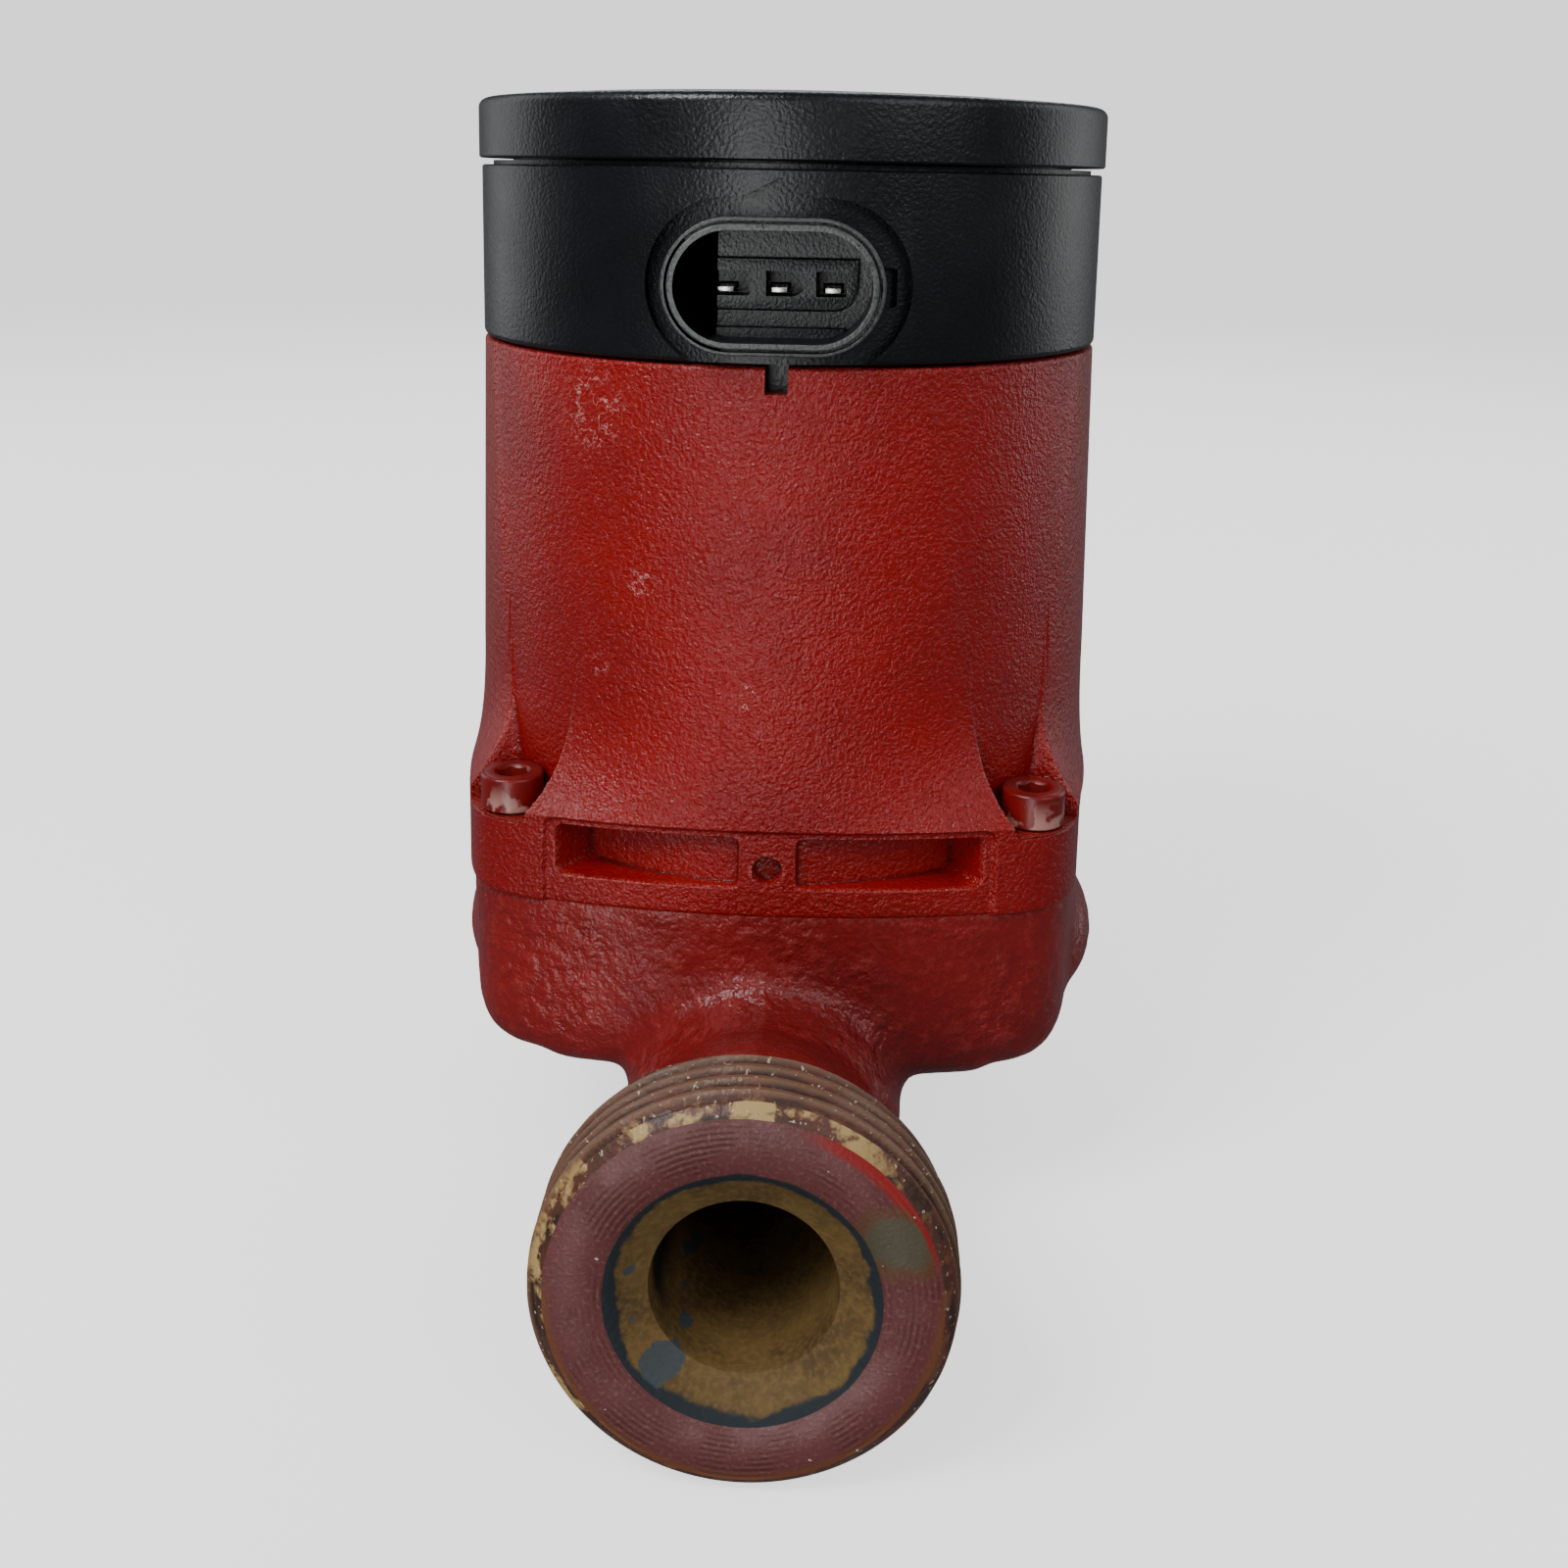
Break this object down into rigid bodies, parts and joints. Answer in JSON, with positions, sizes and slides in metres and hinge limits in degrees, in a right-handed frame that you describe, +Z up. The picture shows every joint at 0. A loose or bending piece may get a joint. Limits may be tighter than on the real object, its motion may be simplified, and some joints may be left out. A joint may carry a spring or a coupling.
{
  "type": "circulator pump",
  "caption": "In-line wet-rotor circulator pump for heating water: red cast housing with threaded ports, canned motor, and a black control box with a mains socket.",
  "frame": {"origin": "where the pipe axis crosses the motor axis, half way between the two port faces", "axes": "+Z up the motor axis to the control box, Y along the pipe with the port under the mains socket at -Y, +X to the right seen from the socket side"},
  "size_m": [0.0956, 0.18, 0.1555],
  "materials": {
    "coated_iron": "dark red e-coat over rough sand-cast iron, rust stains at the ports",
    "coated_aluminium": "red powder coat with a fine leathery texture over die-cast aluminium",
    "painted_screw": "red coat over steel socket head screws",
    "black_plastic": "fine-textured black moulded plastic, scuffed grey on the edges",
    "stainless": "deep-drawn or turned stainless steel",
    "ceramic": "ground aluminium oxide",
    "carbon": "resin-bonded carbon",
    "rubber": "black EPDM rubber",
    "magnet": "bonded ferrite",
    "composite": "glass-filled moulded composite",
    "lamination": "stacked electrical steel sheets",
    "copper_wire": "enamelled copper winding",
    "white_plastic": "off-white moulded insulator",
    "tinned_brass": "bright tin plate over brass",
    "board_laminate": "green solder mask over glass laminate",
    "capacitor_sleeve": "shrunk dark sleeve over an aluminium can",
    "module_resin": "black moulding resin",
    "thermal_silicone": "grey-blue thermally conducting silicone",
    "zinc_steel": "zinc plated steel"
  },
  "bodies": {
    "housing": {"pump_housing": "coated_iron", "stator_housing": "coated_aluminium", "flange_screw_1": "painted_screw", "flange_screw_2": "painted_screw", "flange_screw_3": "painted_screw", "flange_screw_4": "painted_screw", "control_box_base": "black_plastic", "control_box_lid": "black_plastic", "neck_ring": "stainless", "bearing_plate": "stainless", "rotor_can": "stainless", "lower_bearing": "ceramic", "upper_bearing": "ceramic", "housing_gasket": "rubber", "control_box_seal": "rubber", "stator_core": "lamination", "stator_coil_1": "copper_wire", "stator_coil_2": "copper_wire", "stator_coil_3": "copper_wire", "stator_coil_4": "copper_wire", "stator_coil_5": "copper_wire", "stator_coil_6": "copper_wire", "choke": "copper_wire", "stator_insulator_lower": "white_plastic", "stator_insulator_upper": "white_plastic", "filter_capacitor": "white_plastic", "winding_pin_1": "tinned_brass", "winding_pin_2": "tinned_brass", "winding_pin_3": "tinned_brass", "mains_pin_live": "tinned_brass", "mains_pin_earth": "tinned_brass", "mains_pin_neutral": "tinned_brass", "circuit_board": "board_laminate", "bulk_capacitor_1": "capacitor_sleeve", "bulk_capacitor_2": "capacitor_sleeve", "power_module": "module_resin", "thermal_pad": "thermal_silicone", "control_box_screw_1": "zinc_steel", "control_box_screw_2": "zinc_steel", "control_box_screw_3": "zinc_steel", "control_box_screw_4": "zinc_steel", "board_screw_1": "zinc_steel", "board_screw_2": "zinc_steel", "board_screw_3": "zinc_steel"},
    "rotor": {"shaft": "ceramic", "rotor_magnet": "magnet", "rotor_sleeve": "stainless", "rotor_lower_plate": "stainless", "rotor_upper_plate": "stainless", "thrust_ring": "carbon", "thrust_ring_holder": "rubber", "impeller_locking_cone": "stainless", "impeller": "composite", "impeller_shroud": "composite"}
  },
  "joints": [
    {"name": "rotor_spin", "type": "hinge", "parent": "housing", "child": "rotor", "pos_m": [0, 0, 0.05], "axis": [0, 0, 1], "continuous": true}
  ]
}
